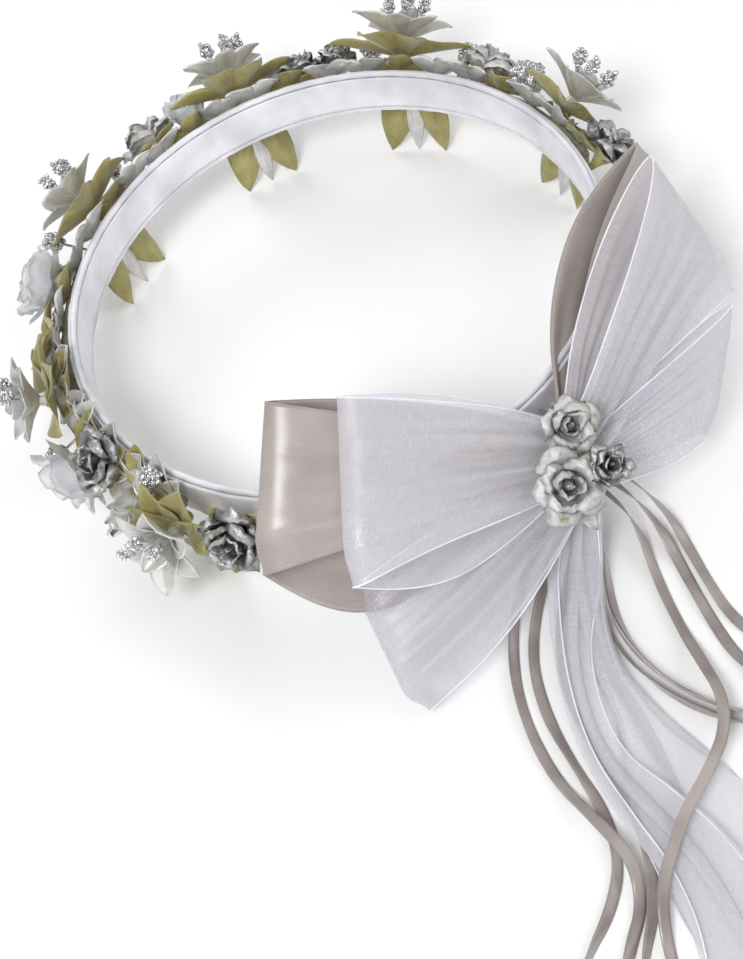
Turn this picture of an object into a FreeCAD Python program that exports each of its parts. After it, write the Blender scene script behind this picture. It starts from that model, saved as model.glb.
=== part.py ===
import FreeCAD, Part

import math
import os

from FreeCAD import Vector

# Flower crown: a satin-covered hoop with a garland of fabric and foil flowers,
# a double bow at -Y and ribbon tails that lie in front of it.
# Frame: origin at the centre of the head opening, +Z up, millimetres.

# ---- driving dimensions -------------------------------------------------
OPENING_R = 85.0          # head opening radius
BAND_HALF = 6.9           # half height of the lining between its two piped edges
LINING_T = 0.7            # satin lining
CORE_T = 1.4              # stiff buckram strip
WRAP_T = 0.9              # outer satin wrap
LAYER_GAP = 0.05          # gap between the layers of the band
PIPING_R = 1.1            # radius of the piped edges
WIRE_R = 0.5              # radius of the wire inside each piped edge
REST_Z = -32.0            # the surface that the crown lies on
STEM_R = 2.4              # radius of the taped garland stem
STEM_RING_R = 91.0        # radius of the ring that the stem follows
GARLAND_START = -164.0    # the garland runs from here ...
GARLAND_END = -18.0       # ... clockwise over the far side to here, degrees
SATIN_T = 0.8             # satin ribbon, with its stiffening
ORGANZA_T = 0.8           # organza ribbon, as a collision skin
STREAMER_D = 3.4          # width of the narrow satin streamers
TABLE_LINE = REST_Z + STREAMER_D / 2   # centre height of a streamer that lies flat
KNOT = Vector(-2, -106, -4)            # centre of the gathered bow
BOW_BAR = (-94.5, 0.0)                 # y, z of the wire the bow hangs on
TAIL_BAR = (-94.0, -10.0)              # y, z of the wire the tails hang on
BAR_R = 0.6
BAR_PLAY = 0.05
BAR_X = (-8.0, 4.0)
COLLAR_Y = (-101.0, -107.0)            # back and front face of the tails' binding
COLLAR_Z = -19.6
COLLAR_HALF = (12.4, 4.6)              # half width and half height of the binding
COLLAR_X = -0.4

os.makedirs("parts", exist_ok=True)


def save(name, shape):
    """Write one node and say what it is."""
    solids = shape.Solids
    shape.exportStep("parts/" + name + ".step")
    print("%-28s solids %2d  volume %9.2f  valid %s" % (name, len(solids), shape.Volume, shape.isValid()))


def polar(radius, angle, z=0.0):
    a = math.radians(angle)
    return Vector(radius * math.cos(a), radius * math.sin(a), z)


def unit(v):
    return Vector(v).normalize()


def placed(shape, origin, along, normal):
    """Move a shape from its own axes to x = along, z = normal, at origin."""
    x = unit(along)
    z = unit(normal - x * normal.dot(x))
    y = z.cross(x)
    m = FreeCAD.Matrix(x.x, y.x, z.x, origin.x,
                       x.y, y.y, z.y, origin.y,
                       x.z, y.z, z.z, origin.z,
                       0, 0, 0, 1)
    out = shape.copy()
    out.Placement = FreeCAD.Placement(m)
    return out


def tube_ring(r_in, r_out, half):
    base = Vector(0, 0, -half)
    return Part.makeCylinder(r_out, 2 * half, base).cut(Part.makeCylinder(r_in, 2 * half, base))


def prism(points, height, start=0.0):
    """A closed polygon in the XY plane, raised along Z from start."""
    loop = [Vector(x, y, start) for x, y in points]
    return Part.Face(Part.makePolygon(loop + loop[:1])).extrude(Vector(0, 0, height))


# ---- the hoop -------------------------------------------------------------
core_r = OPENING_R + LINING_T + LAYER_GAP
wrap_r = core_r + CORE_T + LAYER_GAP
wrap_out = wrap_r + WRAP_T
piping_ring = OPENING_R + PIPING_R + 0.1
piping_z = BAND_HALF + PIPING_R


def rings(minor):
    """The same thin ring at the lower and the upper edge of the band."""
    return [Part.makeTorus(piping_ring, minor, Vector(0, 0, s * piping_z)) for s in (-1, 1)]


def hoop():
    save("inner_band", tube_ring(OPENING_R, OPENING_R + LINING_T, BAND_HALF))
    save("band_core", tube_ring(core_r, core_r + CORE_T, BAND_HALF - 0.4))
    save("outer_wrap", tube_ring(wrap_r, wrap_out, BAND_HALF + 0.6))
    wires = rings(WIRE_R)
    save("edge_piping", Part.makeCompound([skin.cut(wire) for skin, wire in zip(rings(PIPING_R), wires)]))
    save("hoop_wires", Part.makeCompound(wires))


def garland_stem():
    sweep = 360.0 + GARLAND_START - GARLAND_END
    arc = Part.makeTorus(STEM_RING_R, STEM_R, Vector(0, 0, 0), Vector(0, 0, 1), 0, 360, sweep)
    arc.rotate(Vector(0, 0, 0), Vector(0, 0, 1), GARLAND_END)
    save("garland_stem", arc)
    dots = []
    count = 13
    for i in range(count):
        angle = GARLAND_END + sweep * (i + 0.5) / count
        dots.append(Part.makeCylinder(1.5, 0.62, polar(wrap_out, angle), polar(1, angle)))
    save("glue_dots", Part.makeCompound(dots))


# ---- leaves, petals and flowers ---------------------------------------------
LEAF_T = 0.6
HUB_R = 3.0


def blade(length, width, start=0.0, thickness=LEAF_T):
    """A lance-shaped leaf or petal in the XY plane, base at x = start."""
    root = Vector(start, 0, -thickness / 2)
    tip = Vector(start + length, 0, -thickness / 2)
    belly = start + 0.45 * length
    left = Part.Arc(root, Vector(belly, width / 2, -thickness / 2), tip).toShape()
    right = Part.Arc(tip, Vector(belly, -width / 2, -thickness / 2), root).toShape()
    return Part.Face(Part.Wire([left, right])).extrude(Vector(0, 0, thickness))


def flower_axes(angle, lift):
    """Outward axis of a flower, then its upward and sideways directions."""
    r = polar(1, angle)
    up = Vector(0, 0, 1)
    a = math.radians(lift)
    axis = r * math.cos(a) + up * math.sin(a)
    rise = up * math.cos(a) - r * math.sin(a)
    return axis, rise, axis.cross(rise)


def ring_of_blades(centre, axes, blades, cup):
    """blades: (clock angle from straight up, length, width) about the flower's axis."""
    axis, rise, side = axes
    out = []
    for clock, length, width in blades:
        c = math.radians(clock)
        flat = rise * math.cos(c) + side * math.sin(c)
        g = math.radians(cup)
        along = flat * math.cos(g) + axis * math.sin(g)
        normal = axis * math.cos(g) - flat * math.sin(g)
        out.append(placed(blade(length, width, HUB_R - 1.2), centre, along, normal))
    return out


def hanging_leaf(angle, tip_angle, width, top_r=97.0, tip_r=88.5, tip_z=REST_Z, top_z=-4.0):
    """A leaf that hangs from the garland and reaches down to the resting surface."""
    top = polar(top_r, angle, top_z)
    tip = polar(tip_r, tip_angle, tip_z)
    along = tip - top
    inset = LEAF_T / 2
    return placed(blade(along.Length - inset, width), top, along, polar(1, angle))


def fused(pieces):
    body = pieces[0]
    for piece in pieces[1:]:
        body = body.fuse(piece)
    return body.removeSplitter()


# angle, radius, height, lift, leaf length, petal length, lower leaves (angle shifts)
LILIES = [
    (-162.5, 99.0, -1.0, 12, 15, 17, (-5.0, 3.0)),
    (156.0, 98.5, 3.0, 22, 17, 16, (-6.0, 4.0)),
    (108.0, 98.5, 4.0, 30, 18, 17, (-7.0, 7.0)),
    (68.5, 98.5, 5.0, 34, 19, 17, (-6.0, 6.0)),
    (33.0, 99.0, 5.0, 36, 20, 18, (-7.0, 6.0)),
    (-6.5, 98.0, 3.0, 26, 16, 16, (-6.0, 6.0)),
]
LEAF_CLOCKS = (-75, -18, 30, 88)
PETAL_CLOCKS = (-110, -48, 5, 60, 118, 180)
STAMEN_CLOCKS = (-30, 25, 80)


def bead_on_wire(wire_r, reach, bead_r):
    """A thin wire along X with a round bead centred at its far end, as one turned solid."""
    neck = reach - math.sqrt(bead_r ** 2 - wire_r ** 2)
    corners = [Vector(0, 0, 0), Vector(0, wire_r, 0), Vector(neck, wire_r, 0)]
    end = Vector(reach + bead_r, 0, 0)
    edges = [Part.makeLine(a, b) for a, b in zip(corners, corners[1:])]
    edges.append(Part.Arc(corners[-1], Vector(reach, bead_r, 0), end).toShape())
    edges.append(Part.makeLine(end, corners[0]))
    return Part.Face(Part.Wire(edges)).revolve(Vector(0, 0, 0), Vector(1, 0, 0), 360)


def hub(centre, axis, start, length, radius=HUB_R):
    return Part.makeCylinder(radius, length, centre + axis * start, axis)


def lilies():
    stamens = []
    for number, (angle, radius, z, lift, leaf, petal, lower) in enumerate(LILIES, 1):
        centre = polar(radius, angle, z)
        axes = flower_axes(angle, lift)
        axis = axes[0]
        leaves = [(c, leaf, 7.5) for c in LEAF_CLOCKS]
        solid = [hub(centre, axis, -6.8, 7.4)]
        solid += ring_of_blades(centre, axes, leaves, 12)
        foot = polar(radius - 1.5, angle, -3.5)
        for shift in lower:
            solid.append(hanging_leaf(angle + 0.1 * shift, angle + shift, 8.5, radius - 1.5))
        solid.append(Part.makeCylinder(1.2, (foot - centre).Length, centre, foot - centre))
        save("lily_%d_leaves" % number, fused(solid))
        heart = centre + axis * 3.4
        petals = [(c, petal, 6.5) for c in PETAL_CLOCKS]
        solid = [hub(centre, axis, 0.65, 4.3, HUB_R - 0.4)]
        solid += ring_of_blades(heart, axes, petals, 32)
        save("lily_%d_petals" % number, fused(solid))
        for clock in STAMEN_CLOCKS:
            c = math.radians(clock)
            lean = axes[1] * math.cos(c) + axes[2] * math.sin(c)
            start = centre + axis * 5.0 + lean * 1.4
            way = unit(axis + lean * 0.42)
            stamens.append(placed(bead_on_wire(0.35, 11, 1.7), start, way, axes[1].cross(way)))
    save("glitter_stamens", Part.makeCompound(stamens))


def rose_solid(radius, height):
    """A rose as one turned solid about X: stem, calyx, bowl and a dished top."""
    stem = 1.0
    a = Vector(-7, 0, 0)
    b = Vector(-7, stem, 0)
    c = Vector(-4, stem, 0)
    d = Vector(0, 0.5 * radius, 0)
    e = Vector(0.5 * height, radius, 0)
    f = Vector(height, 0.78 * radius, 0)
    g = Vector(0.7 * height, 0, 0)
    edges = [Part.makeLine(a, b), Part.makeLine(b, c), Part.makeLine(c, d)]
    edges.append(Part.Arc(d, Vector(0.16 * height, 0.82 * radius, 0), e).toShape())
    edges.append(Part.Arc(e, Vector(0.82 * height, 0.97 * radius, 0), f).toShape())
    edges.append(Part.makeLine(f, g))
    edges.append(Part.makeLine(g, a))
    face = Part.Face(Part.Wire(edges))
    return face.revolve(Vector(0, 0, 0), Vector(1, 0, 0), 360)


def rose_at(angle, radius, z, lift, size, height):
    axis, rise, side = flower_axes(angle, lift)
    return placed(rose_solid(size, height), polar(radius, angle, z), axis, rise)


# angle, ring radius, height, lift, rose radius, rose height
FOIL_ROSES = [
    (-150.5, 95.5, 0.0, 18, 9.0, 11),
    (178.5, 94.5, 5.5, 48, 7.6, 10),
    (88.5, 96.0, 2.0, 32, 8.6, 12),
    (54.3, 95.5, 1.5, 38, 5.8, 10),
    (47.0, 95.5, 1.5, 38, 5.8, 10),
    (13.5, 95.5, 1.0, 34, 8.6, 11),
    (-20.5, 95.4, 0.0, 30, 8.4, 11),
]
ORGANZA_ROSES = [
    (171.5, 98.5, -3.0, -14, 9.6, 12),
    (127.5, 96.5, 1.0, 26, 10.4, 13),
    (60.2, 97.5, -5.0, 14, 5.6, 10),
    (78.8, 97.0, 1.0, 40, 6.0, 12),
]


def roses():
    for number, row in enumerate(FOIL_ROSES, 1):
        save("foil_rose_%d" % number, rose_at(*row))
    for number, row in enumerate(ORGANZA_ROSES, 1):
        save("organza_rose_%d" % number, rose_at(*row))


def small_flowers():
    save("pale_bud", rose_at(-174.0, 95.0, -3.0, 0, 4.6, 14))
    save("crumpled_foil", rose_at(4.4, 95.5, 4.0, 30, 5.8, 8))
    axes = flower_axes(141.5, 30)
    centre = polar(96.0, 141.5, 0.0)
    spray = [hub(centre, axes[0], -3.6, 4.2)]
    spray += ring_of_blades(centre, axes, [(-20, 15, 7.0), (60, 13, 6.5), (160, 17, 8.0)], 15)
    save("leaf_spray", fused(spray))
    picks = []
    for angle, radius, z, lift in ((-168.0, 94.5, 1.5, 76), (165.0, 97.5, -3.5, -20), (117.0, 98.0, 2.0, 8),
                                   (97.5, 98.0, -2.0, 10), (40.5, 97.0, -2.0, 10), (20.5, 97.0, 0.0, 8)):
        axis, rise, _ = flower_axes(angle, lift)
        start = polar(radius - 4.8, angle, z * 0.4)
        picks.append(placed(bead_on_wire(0.5, 13, 2.2), start, axis, rise))
    save("glitter_picks", Part.makeCompound(picks))


# ---- the wires that hold bow and tails ------------------------------------------
def bar_loop(bar):
    """A wire stitched into the wrap, with a straight bar along X."""
    y, z = bar
    x0, x1 = BAR_X
    pieces = [Part.makeCylinder(BAR_R, x1 - x0, Vector(x0, y, z), Vector(1, 0, 0))]
    for x in BAR_X:
        foot = Vector(x, -87.4, max(-BAND_HALF + 1, min(z, BAND_HALF - 1)))
        top = Vector(x, y, z)
        pieces.append(Part.makeCylinder(BAR_R, (top - foot).Length, foot, top - foot))
        pieces.append(Part.makeSphere(BAR_R, top))
    return fused(pieces)


def tie_wires():
    save("tie_wires", Part.makeCompound([bar_loop(BOW_BAR), bar_loop(TAIL_BAR)]))


def eyelet(bar, target, half_x=2.4, centre_x=-2.0):
    """A strap that wraps the bar and reaches the target point, with a running hole."""
    y, z = bar
    start = Vector(centre_x - half_x, y, z)
    away = Vector(0, target[0] - y, target[1] - z)
    strap = Part.makeBox(2 * half_x, away.Length, 2.4, Vector(0, 0, -1.2))
    lean = math.degrees(math.atan2(-away.z, -away.y))
    strap.rotate(Vector(0, 0, 0), Vector(1, 0, 0), 180 + lean)
    strap.translate(start)
    ring = Part.makeCylinder(1.6, 2 * half_x, start, Vector(1, 0, 0))
    hole = Part.makeCylinder(BAR_R + BAR_PLAY, 2 * half_x + 2, start - Vector(1, 0, 0), Vector(1, 0, 0))
    return ring.fuse(strap).cut(hole)


# ---- the bow ----------------------------------------------------------------------
def ribbon_loop(root, top, bottom, depth, wall, root_width):
    """A hollow loop of ribbon from the knot to a fold between two corners."""
    middle = (top + bottom) * 0.5
    reach = (middle - root).Length
    along = unit(middle - root)
    width = (top - bottom).Length
    across = unit((top - bottom) - along * (top - bottom).dot(along))
    h = depth / 2
    start = 5.5

    def outline(inset, begin, half):
        a = Vector(begin, -half, 0)
        b = Vector(reach - h, -h + inset, 0)
        c = Vector(reach - inset, 0, 0)
        d = Vector(reach - h, h - inset, 0)
        e = Vector(begin, half, 0)
        edges = [Part.makeLine(a, b), Part.Arc(b, c, d).toShape(), Part.makeLine(d, e), Part.makeLine(e, a)]
        return Part.Face(Part.Wire(edges)).extrude(Vector(0, 0, width))

    band = outline(0, start, 1.5).cut(outline(wall, start + 5, 0.5))
    band.translate(Vector(0, 0, -width / 2))
    fan = [(0, -root_width / 2), (reach * 0.55, -width * 0.36), (reach * 0.8, -width / 2), (reach + 1, -width / 2),
           (reach + 1, width / 2), (reach * 0.8, width / 2), (reach * 0.55, width * 0.36), (0, root_width / 2)]
    wedge = prism(fan, 2 * h + 4, -h - 2)
    wedge.rotate(Vector(0, 0, 0), Vector(1, 0, 0), 90)
    return placed(band.common(wedge), root, along, across)


BEHIND = Vector(0, 1.0, 1.2)      # the satin is gathered behind the organza
BEFORE = Vector(-1.2, -3.0, 4.4)
UNDER = Vector(-0.5, -2.0, -2.5)
# root, upper and lower corner of the outer fold, depth, wall, width at the knot
LOOPS = {
    "satin_loop_left": (KNOT + BEHIND, Vector(-59, -49, 41), Vector(-93, -70.5, 12.5), 12, SATIN_T, 10),
    "satin_loop_right": (KNOT + BEHIND, Vector(83, -60, 30), Vector(87, -85, -13), 12, SATIN_T, 10),
    "organza_loop_left_upper": (KNOT + BEFORE, Vector(-47.5, -70, 48), Vector(-80, -97.5, 17), 12, ORGANZA_T, 10),
    "organza_loop_left_lower": (KNOT + UNDER, Vector(-70, -84, -9), Vector(-80.5, -117, -28.5), 8, ORGANZA_T, 8),
    "organza_loop_right_upper": (KNOT + BEFORE, Vector(75, -73, 37), Vector(79, -101, -6), 12, ORGANZA_T, 10),
    "organza_loop_right_lower": (KNOT + UNDER * 2, Vector(64, -114, 7), Vector(38, -124, -18), 8, ORGANZA_T, 8),
}
OUTWARD = Vector(-0.2, -0.6, 0.78)
# place of each rose from the knot, its radius and height
KNOT_ROSES = {
    "knot_rose_main": (Vector(-11.2, -10.0, 9.6), 8.4, 10),
    "knot_rose_top": (Vector(2.0, 0.8, 15.0), 6.6, 9),
    "knot_rose_side": (Vector(0.6, -15.4, 11.6), 4.8, 8),
}


def bow():
    for name, row in LOOPS.items():
        save(name, ribbon_loop(*row))
    wrap = Part.makeCylinder(5.0, 9, KNOT - Vector(4.5, 0, 0), Vector(1, 0, 0))
    arm = eyelet(BOW_BAR, (KNOT.y, KNOT.z))
    save("bow_knot", wrap.fuse(arm).removeSplitter())
    outward = unit(OUTWARD)
    for name, (offset, size, height) in KNOT_ROSES.items():
        save(name, placed(rose_solid(size, height), KNOT + offset, outward, Vector(-0.3, 0.75, 0.6)))
    save("knot_petal", placed(blade(17, 7, 2.0), KNOT + outward * 8.0 - Vector(6, 3, 0), Vector(-0.25, -0.75, -0.35),
                              outward))


# ---- the tails -----------------------------------------------------------------------
def ribbon_slab(stations, thickness):
    """A thin closed strip: stations are (x, y, z, width) along its middle."""
    half = thickness / 2
    rows = []
    for i, (x, y, z, width) in enumerate(stations):
        before = stations[max(i - 1, 0)]
        after = stations[min(i + 1, len(stations) - 1)]
        way = unit(Vector(after[0] - before[0], after[1] - before[1], 0))
        side = Vector(way.y, -way.x, 0) * (width / 2)
        rows.append([Vector(x, y, z + dz) + side * s for s, dz in ((-1, -half), (1, -half), (1, half), (-1, half))])
    faces = []

    def tri(a, b, c):
        faces.append(Part.Face(Part.makePolygon([a, b, c, a])))

    for near, far in zip(rows, rows[1:]):
        for k in range(4):
            a, b, c, d = near[k], near[(k + 1) % 4], far[(k + 1) % 4], far[k]
            tri(a, b, c)
            tri(a, c, d)
    for end in (rows[0], rows[-1]):
        tri(end[0], end[1], end[2])
        tri(end[0], end[2], end[3])
    solid = Part.Solid(Part.Shell(faces))
    return solid if solid.Volume > 0 else solid.reversed()


FLAT_Z = REST_Z + ORGANZA_T / 2
ORGANZA_TAILS = {
    "organza_tail_left": [(-4, -107.5, -12.6, 9), (-13, -114, -16, 12), (-25, -123, -20.5, 13),
                          (-39, -138, -24.5, 12), (-50, -154, -26, 14), (-57, -171, -26.6, 17),
                          (-61, -188, -26.6, 20), (-64.6, -204, -26.6, 21), (-69.8, -221.5, -27, 23),
                          (-77.5, -239, -29.4, 28), (-86, -254, FLAT_Z, 32)],
    "organza_tail_right": [(-1, -107.5, -14.4, 8), (-13, -118.5, -19, 9), (-26.5, -131, -25, 10),
                           (-39, -146, -30.5, 13), (-45, -163, FLAT_Z, 17), (-49.5, -181, FLAT_Z, 25),
                           (-54, -199, FLAT_Z, 33), (-60, -217, FLAT_Z, 38), (-66, -235, FLAT_Z, 38),
                           (-69, -250, FLAT_Z, 38)],
}

T = TABLE_LINE
STREAMERS = {
    "streamer_left_1": [(-10.5, -107, -17.8), (-22, -108.5, -21), (-35, -111.5, -26.5), (-47, -119, T),
                        (-58, -131, T), (-67, -146.5, T), (-72.5, -163, T), (-74.5, -180, -26.6),
                        (-76, -193.5, -26.6), (-83, -203, T), (-94, -208.5, T), (-105, -216, T),
                        (-112, -228, T), (-113.5, -242, T)],
    "streamer_left_2": [(-8.7, -107, -21.6), (-19, -111, -25), (-30, -115.5, -28.8), (-41, -122, T),
                        (-51.5, -132, T), (-60, -146, T), (-65.5, -162, T), (-70, -177, T), (-77.5, -190, T),
                        (-90, -198, T), (-104, -202.5, T), (-117, -209.5, T), (-127, -221, T)],
    "streamer_left_3": [(-5, -107, -21.6), (-13.5, -114.5, -25.5), (-25, -120.5, -29.6), (-37, -128, T),
                        (-47, -138.5, T), (-54.5, -152, T), (-59.5, -168, T), (-65, -184, T), (-73, -197, T),
                        (-82, -206.4, T), (-93, -213, T), (-104, -222.5, T), (-110, -236, T), (-108, -250, T)],
    "streamer_right_1": [(2.1, -107, -17.8), (3.6, -115.5, -21.5), (2, -125, -26.5), (-3.5, -135, T),
                         (-9.5, -146, T), (-15, -158, -29.8), (-20, -169.5, -27), (-25, -181, -23.2),
                         (-33, -189, -23.2), (-45, -193.3, -24), (-57.5, -196.2, -24.2), (-68.5, -201, -24.4),
                         (-78, -206, -24.6), (-87, -215, T), (-93.5, -226.5, T), (-97, -240, T)],
    "streamer_right_2": [(5.9, -107, -17.8), (8, -116, -22), (7.5, -127, -27), (3.5, -138, T), (-1.5, -149, T),
                         (-6.5, -161, T), (-10.5, -173, T), (-11, -186, T), (-5, -198, T), (5.5, -206.5, T),
                         (18, -211, T), (30, -218, T)],
    "streamer_right_3": [(9.7, -107, -17.8), (12, -116.5, -22.5), (12, -128, -28), (8, -139, T), (3, -150.5, T),
                         (-1.5, -162.5, T), (-2, -175, T), (4, -186.5, T), (14.5, -194.5, T), (27, -199.5, T),
                         (38, -207, T)],
    "streamer_mid_1": [(2.6, -107, -21.6), (-4.5, -116, -26), (-14, -126.5, -29.8), (-22.5, -137, T),
                       (-27.6, -150, T), (-29, -164, T), (-26.6, -177.5, T), (-21, -190, T), (-12, -201, T),
                       (-1, -210.5, T), (9, -221, T), (15, -233, T)],
    "streamer_mid_2": [(-1.2, -107, -21.6), (-7.8, -113.8, -25.6), (-17, -124.2, -29.6), (-25.5, -134.7, T),
                       (-31.1, -148.7, T), (-32.7, -163.6, T), (-30.3, -178.2, T), (-24.5, -191.6, T),
                       (-15.4, -203.6, T), (-4.5, -213.6, T), (4.5, -225, T), (8.5, -238, T)],
    "streamer_mid_3": [(-1.7, -107, -17.8), (-6, -114.9, -21.9), (-15.5, -125.3, -26.3), (-24, -135.9, -26.7),
                       (-29.4, -149.3, -26.7), (-30.9, -163.8, -26.7), (-28.4, -177.9, -26.7),
                       (-22.9, -191, -26.7), (-19.2, -205.5, -28.8), (-16, -220, T), (-14, -234.5, T), (-16.5, -248, T)],
}


def bends(points):
    """Radius of the arc at each inner point of a route."""
    out = []
    for a, b, c in zip(points, points[1:], points[2:]):
        run = min((b - a).Length, (c - b).Length)
        turn = (b - a).getAngle(c - b)
        out.append(0.45 * run / math.tan(turn / 2))
    return out


def cord_tube(name, route, diameter):
    """A tube of straight runs joined by tangent arcs."""
    points = [Vector(*p) for p in route]
    radii = bends(points)
    edges = []
    here = points[0]
    for (a, b, c), radius in zip(zip(points, points[1:], points[2:]), radii):
        run = 0.45 * min((b - a).Length, (c - b).Length)
        back = unit(a - b)
        on = unit(c - b)
        start = b + back * run
        end = b + on * run
        turn = (b - a).getAngle(c - b)
        middle = b + unit(back + on) * (radius / math.cos(turn / 2) - radius)
        edges.append(Part.LineSegment(here, start).toShape())
        edges.append(Part.Arc(start, middle, end).toShape())
        here = end
    edges.append(Part.LineSegment(here, points[-1]).toShape())
    path = Part.Wire(edges)
    ring = Part.Circle(points[0], points[1] - points[0], diameter / 2).toShape()
    tube = path.makePipeShell([Part.Wire([ring])], True, False)
    ideal = math.pi * diameter ** 2 / 4 * path.Length
    print("%-18s length %6.1f  tightest radius %5.1f  volume ratio %.4f"
          % (name, path.Length, min(radii), tube.Volume / ideal))
    print("   radii", " ".join("%.0f" % r for r in radii))
    return tube


def tails():
    y0, y1 = COLLAR_Y
    half_x, half_z = COLLAR_HALF
    straight = half_x - half_z
    binding = Part.makeBox(2 * straight, y0 - y1, 2 * half_z, Vector(COLLAR_X - straight, y1, COLLAR_Z - half_z))
    for s in (-1, 1):
        binding = binding.fuse(Part.makeCylinder(half_z, y0 - y1, Vector(COLLAR_X + s * straight, y1, COLLAR_Z),
                                                 Vector(0, 1, 0)))
    arm = eyelet(TAIL_BAR, (y0 - 1.5, COLLAR_Z + 2.2))
    save("tail_binding", binding.fuse(arm).removeSplitter())
    for name, stations in ORGANZA_TAILS.items():
        save(name, ribbon_slab(stations, ORGANZA_T))
    for name, route in STREAMERS.items():
        save(name, cord_tube(name, route, STREAMER_D))


hoop()
garland_stem()
lilies()
roses()
small_flowers()
tie_wires()
bow()
tails()
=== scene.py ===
from math import cos, exp, pi, radians, sin, sqrt

import bpy
from mathutils import Matrix, Vector, noise


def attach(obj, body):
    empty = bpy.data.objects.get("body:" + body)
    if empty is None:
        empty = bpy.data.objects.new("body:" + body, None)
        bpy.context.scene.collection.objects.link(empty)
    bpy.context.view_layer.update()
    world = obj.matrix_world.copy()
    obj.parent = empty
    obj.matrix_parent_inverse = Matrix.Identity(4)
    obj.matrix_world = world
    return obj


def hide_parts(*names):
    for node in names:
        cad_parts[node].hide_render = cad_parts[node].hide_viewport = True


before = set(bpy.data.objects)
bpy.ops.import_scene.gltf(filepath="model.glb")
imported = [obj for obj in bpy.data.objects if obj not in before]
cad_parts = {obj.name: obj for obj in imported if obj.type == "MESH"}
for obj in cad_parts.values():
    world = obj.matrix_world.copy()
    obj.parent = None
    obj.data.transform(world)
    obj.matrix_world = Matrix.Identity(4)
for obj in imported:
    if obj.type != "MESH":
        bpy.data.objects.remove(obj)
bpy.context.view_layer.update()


def vec(x, y, z):
    return Vector((x, y, z))


# Lengths are millimetres in the row frame, except the lights' in metres; meshes are made in metres.
MM = 0.001
REST_Z = -32.0            # the surface that the crown lies on
OPENING_R = 85.0
KNOT = vec(-2, -106, -4)  # the middle of the gathered bow
UP = vec(0, 0, 1)
SILK_T = 0.3              # stiffened cloth of petals and leaves
PAPER_T = 0.18            # paper of the foil roses


# ---- camera ----
AZIMUTH, ELEVATION, ROLL = -25.0, 53.17, 22.21
AIM = vec(-33.2, -39.7, -37.5)
DISTANCE = 600.0
LENS = 70.04


def add_camera():
    az, el, roll = (radians(a) for a in (AZIMUTH, ELEVATION, ROLL))
    back = vec(sin(az) * cos(el), -cos(az) * cos(el), sin(el))
    level = vec(cos(az), sin(az), 0)
    rise = back.cross(level)
    right = level * cos(roll) - rise * sin(roll)
    up = level * sin(roll) + rise * cos(roll)
    data = bpy.data.cameras.new("camera")
    data.lens, data.sensor_width = LENS, 36.0
    data.clip_start, data.clip_end = 0.02, 20.0
    camera = bpy.data.objects.new("camera", data)
    bpy.context.scene.collection.objects.link(camera)
    turn = Matrix((right, up, back)).transposed()
    camera.matrix_world = Matrix.Translation((AIM + back * DISTANCE) * MM) @ turn.to_4x4()
    bpy.context.scene.camera = camera


add_camera()


# ---- mesh and vector helpers ----
def polar(radius, angle, z=0.0):
    a = radians(angle)
    return vec(radius * cos(a), radius * sin(a), z)


def smooth(t):
    t = min(max(t, 0.0), 1.0)
    return t * t * (3 - 2 * t)


def lerp(a, b, t):
    return a + (b - a) * t


def heading(points, i):
    """The direction of a line of points at point i."""
    return (points[min(i + 1, len(points) - 1)] - points[max(i - 1, 0)]).normalized()


def circle(count):
    """Angles evenly round a circle, in radians."""
    return [2 * pi * k / count for k in range(count)]


def axes_at(origin, along, normal):
    """A 4x4 with x = along and z as near to normal as it can be."""
    x = along.normalized()
    z = (normal - x * normal.dot(x)).normalized()
    y = z.cross(x)
    m = Matrix((x, y, z)).transposed().to_4x4()
    m.translation = origin
    return m


def jitter(p, scale, seed=0.0):
    """A smooth vector noise at a point, each part about -1..1."""
    return Vector([bumpy(p, scale, seed + 11.7 * part) for part in range(3)])


def bumpy(p, scale, seed=0.0):
    """A smooth noise at a point, about -1..1, the same on every run."""
    return noise.noise(Vector(p) * scale + vec(seed * 7.3, seed * 3.1, seed * 5.7))


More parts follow.
